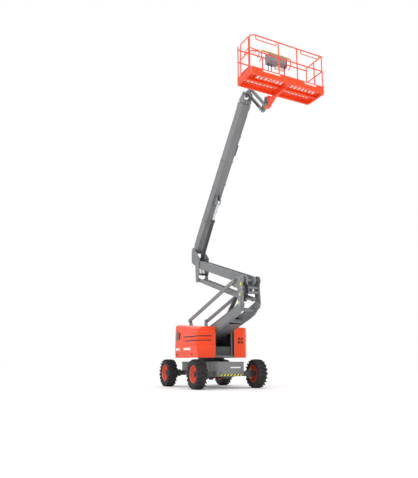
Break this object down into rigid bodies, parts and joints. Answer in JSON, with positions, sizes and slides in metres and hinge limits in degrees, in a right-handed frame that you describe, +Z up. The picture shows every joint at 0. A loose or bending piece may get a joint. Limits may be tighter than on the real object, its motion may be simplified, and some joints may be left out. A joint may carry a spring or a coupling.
{
  "type": "articulating boom lift",
  "caption": "Self-propelled articulating boom lift: wheeled chassis, swinging turntable, parallelogram risers, telescopic boom, jib and a railed work platform.",
  "frame": {"origin": "on the ground, at the middle of the whole machine's plan bounding box", "axes": "+Z up, +X forward towards the platform end, +Y to the machine's left"},
  "size_m": [6.1656, 2.44, 9.386],
  "materials": {
    "cast_iron": "painted dark casting",
    "chrome": "polished chrome",
    "dark_paint": "satin near-black paint",
    "grey_paint": "semi-gloss grey paint",
    "grey_plastic": "satin grey plastic",
    "orange_paint": "semi-gloss orange-red paint",
    "tyre_rubber": "matte black rubber"
  },
  "bodies": {
    "chassis": {"chassis_frame": "grey_paint", "front_axle": "dark_paint", "rear_axle": "dark_paint", "swing_bearing": "dark_paint"},
    "steer_left": {"steer_knuckle_left": "dark_paint"},
    "steer_right": {"steer_knuckle_right": "dark_paint"},
    "tie_rod": {"tie_rod": "dark_paint"},
    "wheel_front_left": {"tyre_front_left": "tyre_rubber", "rim_front_left": "orange_paint"},
    "wheel_front_right": {"tyre_front_right": "tyre_rubber", "rim_front_right": "orange_paint"},
    "wheel_rear_left": {"tyre_rear_left": "tyre_rubber", "rim_rear_left": "orange_paint"},
    "wheel_rear_right": {"tyre_rear_right": "tyre_rubber", "rim_rear_right": "orange_paint"},
    "turntable": {"turntable_deck": "grey_paint", "counterweight": "cast_iron", "engine_block": "cast_iron", "hydraulic_tank": "dark_paint"},
    "hood_left": {"hood_left": "orange_paint"},
    "hood_right": {"hood_right": "orange_paint"},
    "lower_riser": {"lower_riser_arm": "grey_paint"},
    "riser_links": {"riser_link_left": "grey_paint", "riser_link_right": "grey_paint"},
    "mid_upright": {"mid_upright": "grey_paint"},
    "upper_riser": {"upper_riser_beam": "grey_paint"},
    "upper_riser_link": {"upper_riser_link": "grey_paint"},
    "boom_upright": {"boom_upright": "grey_paint"},
    "riser_cylinder_barrel": {"riser_cylinder_barrel": "dark_paint"},
    "riser_cylinder_rod": {"riser_cylinder_rod": "chrome"},
    "boom_base": {"boom_base": "grey_paint", "hose_guide": "dark_paint"},
    "boom_cylinder_barrel": {"boom_cylinder_barrel": "dark_paint"},
    "boom_cylinder_rod": {"boom_cylinder_rod": "chrome"},
    "boom_fly": {"boom_fly": "grey_paint", "hose_tube": "grey_plastic"},
    "jib_bracket": {"jib_bracket": "grey_paint"},
    "jib_lower_tube": {"jib_lower_tube": "grey_paint"},
    "jib_upper_tube": {"jib_upper_tube": "grey_paint"},
    "platform_support": {"platform_support": "grey_paint"},
    "platform": {"rotator_arm": "orange_paint", "platform_floor": "orange_paint", "rails_boom_side": "orange_paint", "rails_outboard": "orange_paint", "rails_corner": "orange_paint", "rails_end": "orange_paint", "control_console": "grey_plastic"},
    "gate": {"entry_gate": "orange_paint"}
  },
  "joints": [
    {"name": "steer_left", "type": "hinge", "parent": "chassis", "child": "steer_left", "pos_m": [-0.52579, 0.8, 0.4275], "axis": [0, 0, 1], "range_deg": [-35, 35]},
    {"name": "steer_right", "type": "hinge", "parent": "chassis", "child": "steer_right", "pos_m": [-0.52579, -0.8, 0.4275], "axis": [0, 0, 1], "range_deg": [-35, 35]},
    {"name": "tie_rod_pivot", "type": "hinge", "parent": "steer_left", "child": "tie_rod", "pos_m": [-0.68579, 0.8, 0.3695], "axis": [0, 0, 1], "range_deg": [-35, 35]},
    {"name": "wheel_front_left", "type": "hinge", "parent": "steer_left", "child": "wheel_front_left", "pos_m": [-0.52579, 1.015, 0.4275], "axis": [0, 1, 0], "continuous": true},
    {"name": "wheel_front_right", "type": "hinge", "parent": "steer_right", "child": "wheel_front_right", "pos_m": [-0.52579, -1.015, 0.4275], "axis": [0, 1, 0], "continuous": true},
    {"name": "wheel_rear_left", "type": "hinge", "parent": "chassis", "child": "wheel_rear_left", "pos_m": [-2.65579, 1.015, 0.4275], "axis": [0, 1, 0], "continuous": true},
    {"name": "wheel_rear_right", "type": "hinge", "parent": "chassis", "child": "wheel_rear_right", "pos_m": [-2.65579, -1.015, 0.4275], "axis": [0, 1, 0], "continuous": true},
    {"name": "turntable_swing", "type": "hinge", "parent": "chassis", "child": "turntable", "pos_m": [-1.59079, 0, 0.9103], "axis": [0, 0, 1], "continuous": true},
    {"name": "hood_left_open", "type": "hinge", "parent": "turntable", "child": "hood_left", "pos_m": [-1.59079, 0.329, 1.88058], "axis": [0.9968, 0, -0.0804], "range_deg": [0, 70]},
    {"name": "hood_right_open", "type": "hinge", "parent": "turntable", "child": "hood_right", "pos_m": [-1.59079, -0.329, 1.88058], "axis": [-0.9968, 0, 0.0804], "range_deg": [0, 70]},
    {"name": "riser_lift", "type": "hinge", "parent": "turntable", "child": "lower_riser", "pos_m": [-2.26079, 0, 1.39], "axis": [0, -1, 0], "range_deg": [-15.5, 47.5]},
    {"name": "riser_link_level", "type": "hinge", "parent": "turntable", "child": "riser_links", "pos_m": [-2.54079, 0, 2.12], "axis": [0, -1, 0], "range_deg": [-15.5, 47.5]},
    {"name": "mid_upright_level", "type": "hinge", "parent": "lower_riser", "child": "mid_upright", "pos_m": [0.7911, 0, 2.35226], "axis": [0, -1, 0], "range_deg": [-47.5, 15.5]},
    {"name": "upper_riser_lift", "type": "hinge", "parent": "mid_upright", "child": "upper_riser", "pos_m": [0.7911, 0, 3.07226], "axis": [0, -1, 0], "range_deg": [-47.5, 15.5]},
    {"name": "upper_link_level", "type": "hinge", "parent": "mid_upright", "child": "upper_riser_link", "pos_m": [0.7911, 0, 2.53226], "axis": [0, -1, 0], "range_deg": [-47.5, 15.5]},
    {"name": "boom_upright_level", "type": "hinge", "parent": "upper_riser", "child": "boom_upright", "pos_m": [-2.26079, 0, 4.03452], "axis": [0, -1, 0], "range_deg": [-15.5, 47.5]},
    {"name": "riser_cylinder_pivot", "type": "hinge", "parent": "lower_riser", "child": "riser_cylinder_barrel", "pos_m": [-0.78253, 0, 1.85609], "axis": [0, -1, 0], "range_deg": [-9.05, 3.29]},
    {"name": "riser_cylinder_stroke", "type": "slide", "parent": "riser_cylinder_barrel", "child": "riser_cylinder_rod", "axis": [0.7213, 0, 0.6926], "range_m": [-0.1833, 0.5513]},
    {"name": "boom_lift", "type": "hinge", "parent": "boom_upright", "child": "boom_base", "pos_m": [-2.59079, 0, 4.55052], "axis": [0, -1, 0], "range_deg": [-54.5, 23.5]},
    {"name": "boom_cylinder_pivot", "type": "hinge", "parent": "boom_upright", "child": "boom_cylinder_barrel", "pos_m": [-2.28079, 0, 4.21052], "axis": [0, -1, 0], "range_deg": [-55.55, 24.23]},
    {"name": "boom_cylinder_stroke", "type": "slide", "parent": "boom_cylinder_barrel", "child": "boom_cylinder_rod", "axis": [0.5755, 0, 0.8178], "range_m": [-0.4188, 0.1834]},
    {"name": "boom_extend", "type": "slide", "parent": "boom_base", "child": "boom_fly", "axis": [0.6225, 0, 0.7826], "range_m": [0, 2.3]},
    {"name": "jib_level", "type": "hinge", "parent": "boom_fly", "child": "jib_bracket", "pos_m": [0.89529, 0, 8.93312], "axis": [0, -1, 0], "range_deg": [-23.5, 54.5]},
    {"name": "jib_lift", "type": "hinge", "parent": "jib_bracket", "child": "jib_lower_tube", "pos_m": [1.00529, -0.077, 8.91312], "axis": [0, -1, 0], "range_deg": [-20.5, 109.5]},
    {"name": "jib_upper_lift", "type": "hinge", "parent": "jib_bracket", "child": "jib_upper_tube", "pos_m": [1.04529, 0.077, 9.01312], "axis": [0, -1, 0], "range_deg": [-20.5, 109.5]},
    {"name": "platform_level", "type": "hinge", "parent": "jib_lower_tube", "child": "platform_support", "pos_m": [1.76515, 0, 8.02345], "axis": [0, -1, 0], "range_deg": [-109.5, 20.5]},
    {"name": "platform_rotate", "type": "hinge", "parent": "platform_support", "child": "platform", "pos_m": [1.98515, 0, 8.00345], "axis": [0, 0, 1], "range_deg": [-85, 85]},
    {"name": "gate_open", "type": "hinge", "parent": "platform", "child": "gate", "pos_m": [2.91529, -1.189, 8.426], "axis": [0, 0, -1], "range_deg": [0, 90]}
  ],
  "couplings": [
    {"joint": "steer_right", "follows": "steer_left", "ratio": 1},
    {"joint": "tie_rod_pivot", "follows": "steer_left", "ratio": -1},
    {"joint": "riser_link_level", "follows": "riser_lift", "ratio": 1},
    {"joint": "mid_upright_level", "follows": "riser_lift", "ratio": -1},
    {"joint": "upper_riser_lift", "follows": "riser_lift", "ratio": -1},
    {"joint": "upper_link_level", "follows": "riser_lift", "ratio": -1},
    {"joint": "boom_upright_level", "follows": "riser_lift", "ratio": 1},
    {"joint": "riser_cylinder_pivot", "follows": "riser_lift", "ratio": -0.18},
    {"joint": "riser_cylinder_stroke", "follows": "riser_lift", "m_per_rad": 0.659},
    {"joint": "boom_cylinder_pivot", "follows": "boom_lift", "ratio": 1.01},
    {"joint": "boom_cylinder_stroke", "follows": "boom_lift", "m_per_rad": 0.435},
    {"joint": "jib_level", "follows": "boom_lift", "ratio": -1},
    {"joint": "jib_upper_lift", "follows": "jib_lift", "ratio": 1},
    {"joint": "platform_level", "follows": "jib_lift", "ratio": -1}
  ]
}
